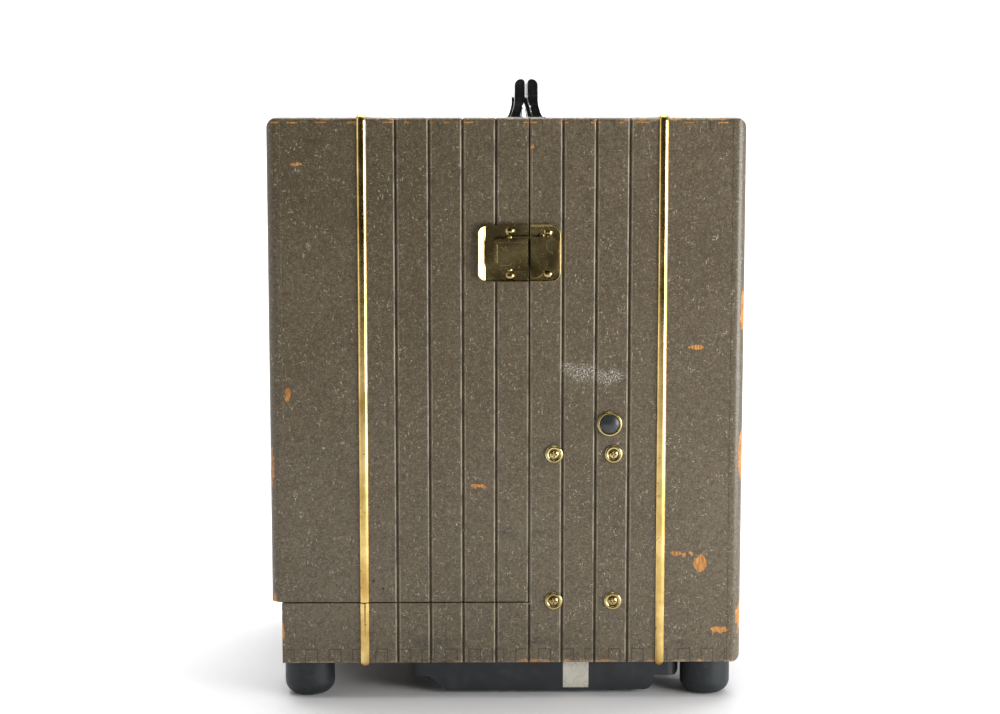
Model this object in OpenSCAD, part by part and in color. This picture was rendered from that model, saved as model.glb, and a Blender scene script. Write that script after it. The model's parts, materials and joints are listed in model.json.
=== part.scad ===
// Slide projector built into a wooden carrying case.
// Frame: +Z up, the case stands on its feet at z = 0, the latched front face looks along -Y.
// The projector throws its picture towards -X once the cover has been lifted off.

/* [Case] */
// Overall width of the wooden case
case_w = 318; // [312:1:326]
// Depth over the front and back panels
case_d = 240; // [236:1:250]
// Height of the wooden case without its feet
wood_h = 368; // [350:1:380]
// Height of the lower part that stays under the cover
tray_h = 41.5; // [40:0.5:44]
// Thickness of every case board
board_t = 9.5; // [9:0.5:10]
// How far the cover's end board stands out past the tray
cover_overhang = 7; // [5:0.5:8]
// Distance of the cover's parting line from the middle of the case
split_x = 15; // [14:0.5:16]
// Spacing of the decorative grooves
groove_pitch = 22.2; // [21:0.1:23]
// Width of one finger of the box joints
finger_w = 7.9; // [6:0.1:10]
// Width of the parting gap between cover and case
gap = 0.9; // [0.6:0.1:1.2]

/* [Feet and trim] */
// Height of the rubber feet
foot_h = 25; // [24:1:28]
// Radius of the rubber feet
foot_r = 17; // [15:0.5:18]
// Width of the brass trim strips
strip_w = 6.5; // [5:0.5:8]
// Thickness of the brass trim strips
strip_t = 2.2; // [1.6:0.1:2.6]

/* [Optics] */
// Height of the optical axis above the deck
axis_h = 102; // [98:1:106]
// Outer radius of the projection lens barrel
barrel_r = 25; // [24.5:0.1:25.5]
// Focusing travel of the lens
focus_travel = 18; // [12:1:18]
// Distance between the two slides in the changer
slide_pitch = 54; // [53:0.5:55]

/* [Hidden] */
$fn = 48;

// Colours
paint = [0.36, 0.32, 0.25];
brass = [0.72, 0.58, 0.27];
black = [0.11, 0.12, 0.13];
steel = [0.62, 0.62, 0.60];
glass = [0.80, 0.90, 0.95];

// Case outline
x_left = -case_w / 2;
x_right = case_w / 2;
x_tray = x_left + cover_overhang;
y_back = case_d / 2;
z_bottom = foot_h;
z_top = foot_h + wood_h;
z_tray = foot_h + tray_h;
cover_x1 = split_x - gap / 2;
case_x0 = split_x + gap / 2;
inner_y = y_back - board_t;
inner_x_left = x_left + board_t;
inner_x_right = x_right - board_t;
corner_r = 8;
edge_r = 7;
ridge_r = 2.5;
bottom_edge_r = 1;
groove_r = 0.6;
arris_r = 0.9;
groove_d = 1.8;
overlap = 1;

// Trim strips and grooves are spaced from the parting line
cover_strip_x = split_x - 5 * groove_pitch;
case_strip_x = split_x + 4 * groove_pitch;

// Fittings on the front face
latch_z = 303.5;
button_x = 69;
button_z = 189;
screw_x = [31.8, 71.8];
screw_z = [67.8, 168.4];

// Projector
deck_z = z_tray - 4;
deck_t = 1.6;
deck_under = deck_z - deck_t;
axis_z = deck_z + axis_h;
house_x0 = 28;
house_x1 = 138;
house_w = 110;
house_h = 186;
lamp_x = 86;
fan_x = 62;
fan_r = 33;
gate_x0 = -26;
gate_x1 = -6;
gate_mid = (gate_x0 + gate_x1) / 2;
pinion_x = -54;
rack_module = 1;
pinion_teeth = 14;
pinion_r = rack_module * pinion_teeth / 2;
pinion_z = axis_z + barrel_r + 4 + pinion_r;

// ---------- placing helpers ----------

// A 2D shape drawn in X and Z becomes a solid along Y, centred on y = 0
module along_y(depth) { rotate([90, 0, 0]) linear_extrude(depth, center = true) children(); }

// A 2D shape drawn in Y and Z becomes a solid along X, centred on x = 0
module along_x(length) { rotate([90, 0, 90]) linear_extrude(length, center = true) children(); }

module both_faces() {
    children();
    mirror([0, 1, 0]) children();
}

// The region outside a quarter circle in a unit corner: sx and sy point into the shape
module corner_cut(x, y, sx, sy, r) {
    translate([x, y]) difference() {
        translate([sx > 0 ? -1 : -r, sy > 0 ? -1 : -r]) square(r + 1);
        translate([sx * r, sy * r]) circle(r);
    }
}

// Rectangle from (x0, y0) to (x1, y1) with radii for bottom-left, bottom-right, top-right, top-left
module round_box(x0, y0, x1, y1, r) {
    difference() {
        translate([x0, y0]) square([x1 - x0, y1 - y0]);
        if (r[0] > 0) corner_cut(x0, y0, 1, 1, r[0]);
        if (r[1] > 0) corner_cut(x1, y0, -1, 1, r[1]);
        if (r[2] > 0) corner_cut(x1, y1, -1, -1, r[2]);
        if (r[3] > 0) corner_cut(x0, y1, 1, -1, r[3]);
    }
}

module box(x0, x1, y0, y1, z0, z1) { translate([x0, y0, z0]) cube([x1 - x0, y1 - y0, z1 - z0]); }

// ---------- case boards ----------

// Everything outside this rounded block is planed off the assembled boards
module envelope() {
    intersection() {
        along_y(case_d + 2) round_box(x_left, z_bottom, x_right, z_top, [0, 6, corner_r, corner_r]);
        translate([0, 0, z_bottom - 1]) linear_extrude(wood_h + 2)
            round_box(x_left, -y_back, x_right, y_back, [edge_r, edge_r, edge_r, edge_r]);
        along_x(case_w + 2) round_box(-y_back, z_bottom, y_back, z_top,
            [bottom_edge_r, bottom_edge_r, ridge_r, ridge_r]);
    }
}

// Box-joint sockets: every second finger from x0 to x1, starting with `first`
module fingers(x0, x1, z0, z1, first) {
    count = ceil((x1 - x0) / finger_w);
    for (i = [first : 2 : count - 1]) {
        finger_x = x0 + i * finger_w;
        box(finger_x, min(finger_x + finger_w, x1 + overlap), y_back - board_t, y_back + overlap, z0, z1);
    }
}

// Section of one groove with the surface at y = 0: rounded arrises and a round bottom
module groove_section() {
    half_w = groove_r + arris_r;
    difference() {
        translate([-half_w, -arris_r]) square([2 * half_w, arris_r + 1]);
        for (s = [-1, 1]) translate([s * half_w, -arris_r]) circle(arris_r);
    }
    translate([-groove_r, groove_r - groove_d]) square([2 * groove_r, groove_d - groove_r - arris_r / 2]);
    translate([0, groove_r - groove_d]) circle(groove_r);
}

module groove_up(x, height) { translate([x, y_back, z_bottom - 1]) linear_extrude(height) groove_section(); }

// Grooves run up the front, over the top and down the back
module grooves(from, to) {
    for (k = [from : to]) if (k != 0) {
        x = split_x + k * groove_pitch;
        both_faces() groove_up(x, wood_h + 2);
        translate([x, 0, z_top]) along_y(case_d + 2) groove_section();
    }
}

// The back panel of the cover; the front one is its mirror image
module cover_panel() {
    difference() {
        intersection() {
            box(inner_x_left, cover_x1, inner_y, y_back, z_tray + gap, z_top);
            envelope();
        }
        fingers(inner_x_left, cover_x1, z_top - board_t, z_top + overlap, 1);
        grooves(-4, -1);
    }
}

module cover_back_panel() { color(paint) cover_panel(); }

module cover_front_panel() { color(paint) mirror([0, 1, 0]) cover_panel(); }

module cover_end_board() {
    color(paint) intersection() {
        box(x_left, inner_x_left, -y_back, y_back, z_tray + gap, z_top);
        envelope();
    }
}

module cover_top_board() {
    color(paint) difference() {
        intersection() {
            box(inner_x_left, cover_x1, -y_back, y_back, z_top - board_t, z_top);
            envelope();
        }
        both_faces() fingers(inner_x_left, cover_x1, z_top - board_t - overlap, z_top + overlap, 0);
        grooves(-4, -1);
    }
}

// L-shaped panel: full height beside the cover, tray height below it
module case_panel() {
    difference() {
        intersection() {
            translate([0, (inner_y + y_back) / 2, 0]) along_y(board_t) difference() {
                translate([x_tray, z_bottom]) square([inner_x_right - x_tray, wood_h]);
                translate([x_tray - 1, z_tray]) square([case_x0 - x_tray + 1, wood_h]);
            }
            envelope();
        }
        fingers(case_x0, inner_x_right, z_top - board_t, z_top + overlap, 1);
        fingers(x_tray, inner_x_right, z_bottom - overlap, z_bottom + board_t, 1);
        grooves(-4, 3);
        groove_up(split_x, tray_h);
        for (x = screw_x, z = screw_z) translate([x, y_back, z]) rotate([90, 0, 0])
            cylinder(r = 2.2, h = 30, center = true);
    }
}

module case_back_panel() { color(paint) case_panel(); }

module case_front_panel() {
    color(paint) difference() {
        mirror([0, 1, 0]) case_panel();
        translate([button_x, -y_back, button_z]) rotate([90, 0, 0]) cylinder(r = 7, h = 30, center = true);
    }
}

vent_z0 = 250;
vent_z1 = 334;
vent_w = 130;
inlet_z = 84;
inlet_y = 62;

module case_end_board() {
    color(paint) difference() {
        intersection() {
            box(inner_x_right, x_right, -y_back, y_back, z_bottom, z_top);
            envelope();
        }
        box(inner_x_right - 1, x_right + 1, -vent_w / 2, vent_w / 2, vent_z0, vent_z1);
        translate([inner_x_right - 1, inlet_y, inlet_z]) rotate([0, 90, 0])
            cylinder(r = 17.5, h = board_t + 2);
    }
}

module case_top_board() {
    color(paint) difference() {
        intersection() {
            box(case_x0, inner_x_right, -y_back, y_back, z_top - board_t, z_top);
            envelope();
        }
        both_faces() fingers(case_x0, inner_x_right, z_top - board_t - overlap, z_top + overlap, 0);
        grooves(1, 3);
    }
}

module case_bottom_board() {
    color(paint) difference() {
        intersection() {
            box(x_tray, inner_x_right, -y_back, y_back, z_bottom, z_bottom + board_t);
            envelope();
        }
        both_faces() fingers(x_tray, inner_x_right, z_bottom - overlap, z_bottom + board_t + overlap, 0);
        for (k = [-4 : 3]) both_faces() groove_up(split_x + k * groove_pitch, board_t + 2);
        translate([fan_x, 0, z_bottom - 1]) cylinder(r = fan_r + 7, h = board_t + 2);
        for (x = foot_x, y = foot_y) translate([x, y, z_bottom - 1]) cylinder(r = 1.8, h = board_t + 2);
        for (x = pan_screw_x, y = pan_screw_y) translate([x, y, z_bottom - 1])
            cylinder(r = 1.8, h = board_t + 2);
    }
}

module tray_end_board() {
    color(paint) box(x_tray, x_tray + board_t, -inner_y, inner_y, z_bottom + board_t, z_tray);
}

// Thin strip inside the mouth of the case; the cover slides down outside it
module register_lip() {
    x1 = case_x0 + 8;
    z0 = z_tray + 3;
    z1 = z_top - board_t;
    lip_y = inner_y - 0.6;
    color(paint) both_faces() box(case_x0 - 7, x1, lip_y - 3, lip_y, z0, z1 - 6);
    color(paint) box(case_x0, x1, -lip_y + 3, lip_y - 3, z1 - 6, z1);
    color(paint) both_faces() box(case_x0, x1, lip_y, inner_y, z0, z1 - 6);
}

// ---------- brass trim ----------

strip_side = 0.5;
strip_crown = strip_t - strip_side;
strip_arc_r = (pow(strip_w / 2, 2) + pow(strip_crown, 2)) / (2 * strip_crown);

// Half-round section: width along x, standing out along y
module strip_section() {
    intersection() {
        translate([0, strip_t - strip_arc_r]) circle(strip_arc_r, $fn = 96);
        translate([-strip_w / 2, 0]) square([strip_w, strip_t]);
    }
}

module strip_up(z0, z1) { translate([0, y_back, z0]) linear_extrude(z1 - z0) strip_section(); }

// The strip turned round an edge of radius r, with the edge's corner at z = 0
module strip_bend(r) {
    multmatrix([[0, 0, 1, 0], [1, 0, 0, y_back - r], [0, 1, 0, -r], [0, 0, 0, 1]])
        rotate_extrude(angle = 90) translate([r, 0]) rotate(-90) strip_section();
}

module hoop(z0) {
    both_faces() strip_up(z0, z_top - ridge_r);
    both_faces() translate([0, 0, z_top]) strip_bend(ridge_r);
    translate([0, 0, z_top]) along_y(case_d - 2 * ridge_r) strip_section();
}

// Lower end, turned under the bottom board
module strip_foot() {
    translate([0, 0, z_bottom]) mirror([0, 0, 1]) {
        strip_bend(bottom_edge_r);
        translate([0, y_back - bottom_edge_r, 0]) rotate([90, 0, 0]) linear_extrude(10) strip_section();
    }
}

module cover_trim_strip() { color(brass) translate([cover_strip_x, 0, 0]) hoop(z_tray + gap); }

module case_trim_strip() {
    color(brass) translate([case_strip_x, 0, 0]) {
        hoop(z_bottom + bottom_edge_r);
        both_faces() strip_foot();
    }
}

module tray_trim_strips() {
    color(brass) translate([cover_strip_x, 0, 0]) both_faces() {
        strip_up(z_bottom + bottom_edge_r, z_tray);
        strip_foot();
    }
}

// ---------- draw latches: local x from the parting line, y outwards, z from the latch centre ----------

pivot_x = -2.9;
pivot_y = 2.6;
link_x = -13;
link_y = 4.7;
plate_h = 38;
plate_r = 6.5;

module at_latch(back) {
    if (back) translate([split_x, y_back, latch_z]) children();
    else mirror([0, 1, 0]) translate([split_x, y_back, latch_z]) children();
}

// A 2D shape drawn in local x and z becomes a plate from y0 to y1
module plate(y0, y1) { translate([0, y1, 0]) rotate([90, 0, 0]) linear_extrude(y1 - y0) children(); }

module pan_outline(inset) {
    r = plate_r - inset;
    round_box(-34.9 + inset, -plate_h / 2 + inset, -0.6, plate_h / 2 - inset, [r, 0, 0, r]);
}

module latch_base() {
    plate(0, 1) pan_outline(0);
    plate(1, 3.2) difference() {
        pan_outline(0);
        pan_outline(0.9);
    }
    // the slope that leads down from the rim at the free end, and two rivets
    intersection() {
        plate(0, 4) pan_outline(0);
        linear_extrude(plate_h, center = true)
            polygon([[-35, 0.5], [-28.4, 0.5], [-29.4, 1.15], [-31.2, 1.8], [-33, 2.75],
                [-33.9, 3.2], [-35, 3.2]]);
    }
    for (s = [-1, 1]) latch_rivet(-12.8, s * 14.9);
    // lugs and pivot pin of the lever
    for (s = [-1, 1]) translate([0, 0, s * 7.2]) linear_extrude(1.4, center = true) difference() {
        round_box(pivot_x - 2, 0.5, pivot_x + 2, pivot_y + 1.8, [0, 0, 1.8, 1.8]);
        translate([pivot_x, pivot_y]) circle(1.05);
    }
    translate([pivot_x, pivot_y, 0]) cylinder(r = 1.05, h = 19.6, center = true);
}

module latch_lever() {
    difference() {
        translate([pivot_x, 0, 0]) union() {
            plate(6.6, 7.8) round_box(-20.8, -9.8, 1.2, 9.8, [2.6, 0, 0, 2.6]);
            for (s = [-1, 1]) translate([0, 0, s * 9.2]) linear_extrude(1.2, center = true)
                polygon([[-18.2, 7.8], [1.2, 7.8], [1.2, 1.7], [-2, 1.6], [-12, 3.2], [-18.2, 5.6]]);
        }
        translate([pivot_x, pivot_y, 0]) cylinder(r = 1.13, h = 30, center = true);
        // pressed field in the thumb plate
        plate(7.4, 9) round_box(pivot_x - 18.6, -7.6, pivot_x - 1, 7.6, [1.6, 0.8, 0.8, 1.6]);
    }
    for (s = [-1, 1]) translate([link_x, link_y, s * 10.6]) cylinder(r = 0.9, h = 1.8, center = true);
}

module latch_hook() {
    // two arms outside the lever, joined by the claw that drops over the keeper
    for (s = [-1, 1]) translate([0, 0, s * 10.75]) linear_extrude(1, center = true) difference() {
        union() {
            translate([link_x, link_y]) circle(1.9);
            translate([link_x, link_y - 0.9]) square([4.4 - link_x, 2.2]);
            translate([3, link_y - 0.9]) square([1.4, 3.3]);
        }
        translate([link_x, link_y]) circle(0.97);
    }
    plate(5.9, 7.1) round_box(0.9, -11.25, 17.9, 11.25, [0.8, 3, 3, 0.8]);
    plate(3.6, 5.9) round_box(16.7, -8.6, 17.9, 8.6, [0, 0.4, 0.4, 0]);
}

module latch_keeper() {
    plate(0, 1) round_box(0.6, -plate_h / 2, 20.7, plate_h / 2, [0, plate_r, plate_r, 0]);
    plate(1, 3.2) difference() {
        round_box(0.6, -plate_h / 2, 20.7, plate_h / 2, [0, plate_r, plate_r, 0]);
        round_box(-1, -plate_h / 2 + 0.9, 19.8, plate_h / 2 - 0.9, [0, plate_r - 0.9, plate_r - 0.9, 0]);
    }
    // raised pad, cut away where the opened lever swings, and the catch that the claw drops over
    plate(1, 2.2) difference() {
        round_box(0.6, -16.5, 9.6, 16.5, [0, 6, 6, 0]);
        translate([0, -11.4]) square([4, 22.8]);
    }
    linear_extrude(15, center = true) round_box(4.2, 0.5, 16.3, 5.4, [0, 0, 0.8, 2.6]);
}

module latch_rivet(x, z) {
    translate([x, 1, z]) intersection() {
        translate([0, -2.2, 0]) sphere(4);
        rotate([-90, 0, 0]) cylinder(r = 3.15, h = 3);
    }
}

module latch_base_plates() { color(brass) for (b = [false, true]) at_latch(b) latch_base(); }

module latch_keepers() { color(brass) for (b = [false, true]) at_latch(b) latch_keeper(); }

module latch_rivets() {
    color(brass) for (b = [false, true], s = [-1, 1]) at_latch(b) latch_rivet(12.4, s * 13.8);
}

module front_latch_lever() { color(brass) at_latch(false) latch_lever(); }

module back_latch_lever() { color(brass) at_latch(true) latch_lever(); }

module front_latch_hook() { color(brass) at_latch(false) latch_hook(); }

module back_latch_hook() { color(brass) at_latch(true) latch_hook(); }

// ---------- handle halves: local x away from the parting line, z from the top board ----------

grip_l = 112;
leg_t = 9;
hinge_x = 6.4;
hinge_z = 4.6;
pin_gap = 0.08;

module handle_grip() {
    difference() {
        union() {
            along_y(grip_l) round_box(1, 14.4, 7.9, 26.4, [2.5, 2.5, 4.3, 2.3]);
            for (s = [-1, 1]) translate([0, s * grip_l / 2, 0]) along_y(leg_t) {
                polygon([[1, 18], [1, 12], [1.7, 10], [3.5, 4.6], [9.3, 4.6], [8.6, 7.5], [8, 10.5],
                    [7.9, 18]]);
                round_box(1, 14.4, 7.9, 26.4, [0, 0, 4.3, 2.3]);
                translate([hinge_x, hinge_z]) circle(3);
            }
        }
        translate([hinge_x, 0, hinge_z]) rotate([90, 0, 0])
            cylinder(r = 1.5 + pin_gap, h = grip_l + 20, center = true);
    }
}

// Foot plate with two flared cheeks that hold the hinge pin
module handle_brackets() {
    for (s = [-1, 1]) translate([0, s * grip_l / 2, 0]) {
        translate([2.2, -9, 0]) cube([11, 18, 0.8]);
        for (e = [-1, 1]) translate([0, e * (leg_t / 2 + 1.2), 0]) along_y(1.6)
            polygon([[4.4, 0], [11.9, 0], [10.8, 1.3], [9.9, 3], [9.2, 5], [8.6, 7.2], [8.2, 9.2],
                [2.2, 9.2], [2.8, 7.6]]);
        translate([hinge_x, 0, hinge_z]) rotate([90, 0, 0]) cylinder(r = 1.5, h = leg_t + 4, center = true);
    }
}

// The pair sits slightly towards the cover
handle_shift = 0.7;

module at_handle(on_case) {
    translate([split_x - handle_shift, 0, z_top]) mirror([on_case ? 0 : 1, 0, 0]) children();
}

module cover_handle_grip() { color(black) at_handle(false) handle_grip(); }

module case_handle_grip() { color(black) at_handle(true) handle_grip(); }

module cover_handle_brackets() { color(steel) at_handle(false) handle_brackets(); }

module case_handle_brackets() { color(steel) at_handle(true) handle_brackets(); }

// ---------- feet and base pan ----------

foot_x = [-135, 137];
foot_y = [-100, 100];
pan_screw_x = [-60, 112.5];
pan_screw_y = [-60, 60];
screw_seat = 12.4;

module foot() {
    rotate_extrude() difference() {
        round_box(0, 0, foot_r, foot_h, [0, 9, 0.8, 0]);
        translate([-1, -1]) square([5.6, screw_seat + 1]);
        translate([-1, 1]) square([2.8, foot_h]);
    }
}

// Round-headed wood screw driven up into the bottom board
module wood_screw() {
    difference() {
        translate([0, 0, screw_seat - 2.4]) cylinder(r1 = 3, r2 = 4, h = 2.4);
        translate([-4, -0.5, screw_seat - 3.4]) cube([8, 1, 2]);
    }
    translate([0, 0, screw_seat]) cylinder(r = 1.7, h = z_bottom + board_t - 2 - screw_seat);
}

module rubber_feet() { color(black) for (x = foot_x, y = foot_y) translate([x, y, 0]) foot(); }

module underside_screws() {
    color(steel) {
        for (x = foot_x, y = foot_y) translate([x, y, 0]) wood_screw();
        for (x = pan_screw_x, y = pan_screw_y) translate([x, y, 0]) wood_screw();
    }
}

pan_y = y_back - 12;
pan_wall = 1.4;
pan_step_z = screw_seat;
pan_floor_z = 2.5;
pan_x0 = -66;
pan_x1 = 118.6;

// Section of the pan, widest at the flange, drawn inset by t for the hollow
module pan_section(t) {
    difference() {
        polygon([[pan_x0 + t, 30], [pan_x0 + t, pan_step_z + 2.4 + t], [pan_x0 + 2.4 + t, pan_step_z + t],
            [-53, pan_step_z + t], [-41 + t, pan_floor_z + t], [101 - t, pan_floor_z + t],
            [101 - t, pan_step_z + t], [pan_x1 - 2.4 - t, pan_step_z + t],
            [pan_x1 - t, pan_step_z + 2.4 + t], [pan_x1 - t, 30]]);
        corner_cut(101 - t, pan_floor_z + t, -1, 1, 7 - t);
        translate([-70, foot_h - 0.1]) square([200, 10]);
    }
}

module pan_plan(t) {
    translate([0, 0, -5]) linear_extrude(60)
        round_box(pan_x0 + t, -pan_y + t, pan_x1 - t, pan_y - t, [9, 9, 9, 9]);
}

module base_pan() {
    color(black) difference() {
        intersection() {
            along_y(2 * pan_y) pan_section(0);
            pan_plan(0);
        }
        intersection() {
            along_y(2 * pan_y - 2 * pan_wall) pan_section(pan_wall);
            pan_plan(pan_wall);
        }
        for (x = pan_screw_x, y = pan_screw_y) translate([x, y, 0]) cylinder(r = 1.8, h = z_bottom);
        // air intake slots through the back wall
        for (i = [-6 : 6]) box(28 + i * 9 - 2, 28 + i * 9 + 2, pan_y - 3, pan_y + 1, 6, 18);
    }
}

// Blank paper label wrapped on the pan's front wall
module pan_label() { color([0.78, 0.77, 0.70]) box(38.9, 56.4, -pan_y - 0.35, -pan_y - 0.02, 4.3, 24.2); }

// ---------- front fittings ----------

module at_screws() {
    both_faces() for (x = screw_x, z = screw_z) translate([x, y_back, z]) rotate([-90, 0, 0]) children();
}

// Pressed cup washer: a rolled rim around a countersunk seat
module cup_washers() {
    color(brass) at_screws() rotate_extrude() difference() {
        union() {
            translate([2.3, 0]) square([2.6, 2]);
            intersection() {
                translate([4.5, 0.4]) circle(1.75);
                translate([0, 0]) square([7, 3]);
            }
        }
        polygon([[0, -1], [2.3, -1], [2.3, 0.3], [4.2, 2.4], [0, 2.4]]);
    }
}

module cross_recess() {
    for (a = [0, 90]) rotate(a) translate([0, 0, 2.1]) cube([4, 0.9, 2.4], center = true);
    translate([0, 0, 0.9]) cylinder(r1 = 0.5, r2 = 1.1, h = 2);
}

module panel_screws() {
    color(brass) at_screws() difference() {
        union() {
            intersection() {
                translate([0, 0, 2.2]) cylinder(r = 3.95, h = 2);
                translate([0, 0, -5.2]) sphere(8.4);
            }
            translate([0, 0, 0.2]) cylinder(r1 = 2, r2 = 3.95, h = 2);
            translate([0, 0, -16]) cylinder(r = 2, h = 16.3);
        }
        cross_recess();
    }
}

module at_button() { translate([button_x, -y_back, button_z]) rotate([90, 0, 0]) children(); }

module button_bezel() {
    color(brass) at_button() {
        rotate_extrude() difference() {
            union() {
                translate([6.7, 0]) square([0.6, 2]);
                intersection() {
                    translate([7.3, 1]) circle(1.25);
                    square([9, 3]);
                }
                translate([6.3, -board_t - 3]) square([0.6, board_t + 3]);
            }
            translate([0, -20]) square([6.3, 40]);
        }
        translate([0, 0, -board_t - 3]) difference() {
            cylinder(r = 10, h = 2.9);
            translate([0, 0, -1]) cylinder(r = 6.3, h = 6);
        }
    }
}

module push_button() {
    color(black) at_button() {
        intersection() {
            translate([0, 0, -6]) cylinder(r = 6.22, h = 12);
            translate([0, 0, -9.5]) sphere(14);
        }
        translate([0, 0, -20]) cylinder(r = 1.5, h = 15);
    }
}

module button_spring() {
    color(steel) at_button() translate([0, 0, -11.1]) difference() {
        cylinder(r = 3.6, h = 5);
        translate([0, 0, -1]) cylinder(r = 2.8, h = 7);
    }
}

module button_switch() {
    color([0.25, 0.12, 0.08]) at_button() difference() {
        union() {
            translate([-9, -7, -33]) cube([18, 14, 20.4]);
            translate([0, 0, -13]) cylinder(r = 6.1, h = 1.8);
        }
        translate([0, 0, -24]) cylinder(r = 1.8, h = 14);
    }
}

// ---------- ventilation and power inlet on the case end ----------

module vent_grille() {
    color(black) difference() {
        box(inner_x_right - 1.5, inner_x_right, -vent_w / 2 - 6, vent_w / 2 + 6, vent_z0 - 6, vent_z1 + 6);
        for (i = [0 : 10], j = [-1, 0, 1]) translate([inner_x_right, j * 40, vent_z0 + 7 + i * 7])
            along_x(6) round_box(-17, -1.7, 17, 1.7, [1.6, 1.6, 1.6, 1.6]);
    }
}

pin_r = 2.4;
pin_pitch = 12.7;
pin_l = 12;
shank_r = 1.6;
inlet_depth = 17;

module at_inlet() { translate([x_right, inlet_y, inlet_z]) rotate([0, 90, 0]) children(); }

module power_inlet() {
    color(black) at_inlet() difference() {
        union() {
            translate([0, 0, -20]) cylinder(r = 17.4, h = 19.5);
            translate([0, 0, -board_t - 2]) cylinder(r = 21, h = 2);
        }
        translate([0, 0, -inlet_depth]) linear_extrude(20) round_box(-9, -14, 9, 14, [6, 6, 6, 6]);
        for (s = [-1, 1]) translate([0, s * pin_pitch / 2, -21]) cylinder(r = shank_r + 0.1, h = 20);
    }
}

// Two round pins that the appliance cord's plug slides over, on thinner shanks
module inlet_pins() {
    color(brass) at_inlet() for (s = [-1, 1]) translate([0, s * pin_pitch / 2, 0]) {
        translate([0, 0, -19.8]) cylinder(r = shank_r, h = 5);
        translate([0, 0, 0.1 - inlet_depth]) cylinder(r = pin_r, h = pin_l);
    }
}

// ---------- deck, lamp house and optics ----------

module deck_plate() {
    color(black) difference() {
        box(x_tray + board_t + 0.5, inner_x_right - 0.5, -inner_y + 0.5, inner_y - 0.5, deck_under, deck_z);
        translate([fan_x, 0, deck_z - 3]) cylinder(r = fan_r + 1.5, h = 6);
        translate([switch_x, switch_y, deck_z - 3]) cylinder(r = 6.2, h = 6);
    }
    // spacers standing on the bottom board
    color(black) for (x = [-128, 142], y = [-98, 98])
        translate([x, y, z_bottom + board_t]) cylinder(r = 5, h = deck_under - z_bottom - board_t - 0.05);
}

module side_brackets() {
    bracket_t = 1.6;
    color(steel) both_faces() difference() {
        union() {
            box(25, 80, inner_y - bracket_t, inner_y, deck_z + 0.5, 177);
            box(25, 80, house_w / 2, inner_y, 176, 176 + bracket_t);
            box(25, 80, house_w / 2, house_w / 2 + bracket_t, 176, 196);
        }
        for (x = screw_x, z = screw_z) translate([x, inner_y, z]) rotate([90, 0, 0])
            cylinder(r = 2.2, h = 10, center = true);
    }
}

module lamp_house() {
    w = house_w / 2;
    color(black) difference() {
        box(house_x0, house_x1, -w, w, deck_z, deck_z + house_h);
        box(house_x0 + 1.2, house_x1 - 1.2, -w + 1.2, w - 1.2, deck_z + 1.2, deck_z + house_h + 1);
        translate([house_x0, 0, axis_z]) rotate([0, 90, 0]) cylinder(r = 28.2, h = 10, center = true);
        translate([fan_x, 0, deck_z - 1]) cylinder(r = fan_r, h = 6);
        for (i = [0 : 5]) translate([0, 0, deck_z + 104 + i * 12])
            box(house_x0 + 18, house_x1 - 18, -w - 1, w + 1, 0, 4);
        for (i = [0 : 3]) translate([house_x1, 0, deck_z + 116 + i * 12]) box(-3, 1, -34, 34, 0, 4);
    }
    // middle knuckle, leaf and pin of the lid's hinge
    color(black) {
        translate([lid_hinge_x, 0, lid_z]) rotate([90, 0, 0]) cylinder(r = 2.2, h = 39, center = true);
        translate([lid_hinge_x, 0, lid_z]) rotate([90, 0, 0]) cylinder(r = 1.2, h = 82, center = true);
        box(house_x1 - 0.6, lid_hinge_x + 1, -19.5, 19.5, lid_z - 9, lid_z - 0.4);
    }
}

lid_z = deck_z + house_h + 0.4;
lid_hinge_x = house_x1 + 2.6;

module lamp_house_lid() {
    w = house_w / 2 + 2.4;
    color(black) difference() {
        union() {
            box(house_x0 - 2.4, house_x1 - 0.3, -w, w, lid_z, lid_z + 1.4);
            box(house_x0 - 2.4, house_x0 - 1, -w, w, lid_z - 10, lid_z + 1);
            both_faces() box(house_x0 - 2.4, house_x1 - 4, w - 1.4, w, lid_z - 10, lid_z + 1);
            for (y = [-30, 30]) translate([lid_hinge_x, y, lid_z]) rotate([90, 0, 0])
                cylinder(r = 2.2, h = 20, center = true);
            for (y = [-30, 30]) box(house_x1 - 1, lid_hinge_x, y - 10, y + 10, lid_z, lid_z + 1.4);
        }
        for (i = [0 : 6], s = [-1, 1]) translate([house_x0 + 20 + i * 12, s * 24, lid_z])
            linear_extrude(8, center = true) round_box(-2.2, -18, 2.2, 18, [2.1, 2.1, 2.1, 2.1]);
        translate([lid_hinge_x, 0, lid_z]) rotate([90, 0, 0]) cylinder(r = 1.27, h = 90, center = true);
    }
    color(steel) translate([house_x0 - 2.4, 0, lid_z - 5]) rotate([0, -90, 0]) cylinder(r = 5, h = 8);
}

module lamp_bulb() {
    color(glass) translate([lamp_x, 0, axis_z - 56]) rotate_extrude() difference() {
        union() {
            round_box(0, 6, 16, 112, [0, 6, 15.5, 0]);
            square([12.5, 8]);
        }
        round_box(-1, 7, 15.2, 111, [0, 5.6, 14.8, 0]);
        translate([-1, -1]) square([11.7, 9]);
    }
}

module lamp_filament() {
    color([0.9, 0.9, 0.85]) translate([lamp_x, 0, 0]) {
        for (i = [-3 : 3]) translate([0, i * 1.7, axis_z]) cylinder(r = 0.6, h = 10, center = true);
        for (s = [-1, 1]) translate([0, 0, axis_z + s * 5.4]) cube([1.2, 12.4, 1], center = true);
        for (s = [-1, 1]) translate([0, s * 5.6, axis_z - 53.9]) cylinder(r = 0.5, h = 49);
    }
}

module lamp_base() {
    color(brass) translate([lamp_x, 0, axis_z - 54]) difference() {
        union() {
            translate([0, 0, -22]) cylinder(r = 11, h = 22);
            translate([0, 0, -6]) cylinder(r = 16, h = 3.9);
        }
        translate([0, 0, -2]) difference() {
            cylinder(r = 13, h = 4);
            translate([0, 0, -1]) cylinder(r = 10.6, h = 6);
        }
    }
}

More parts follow.
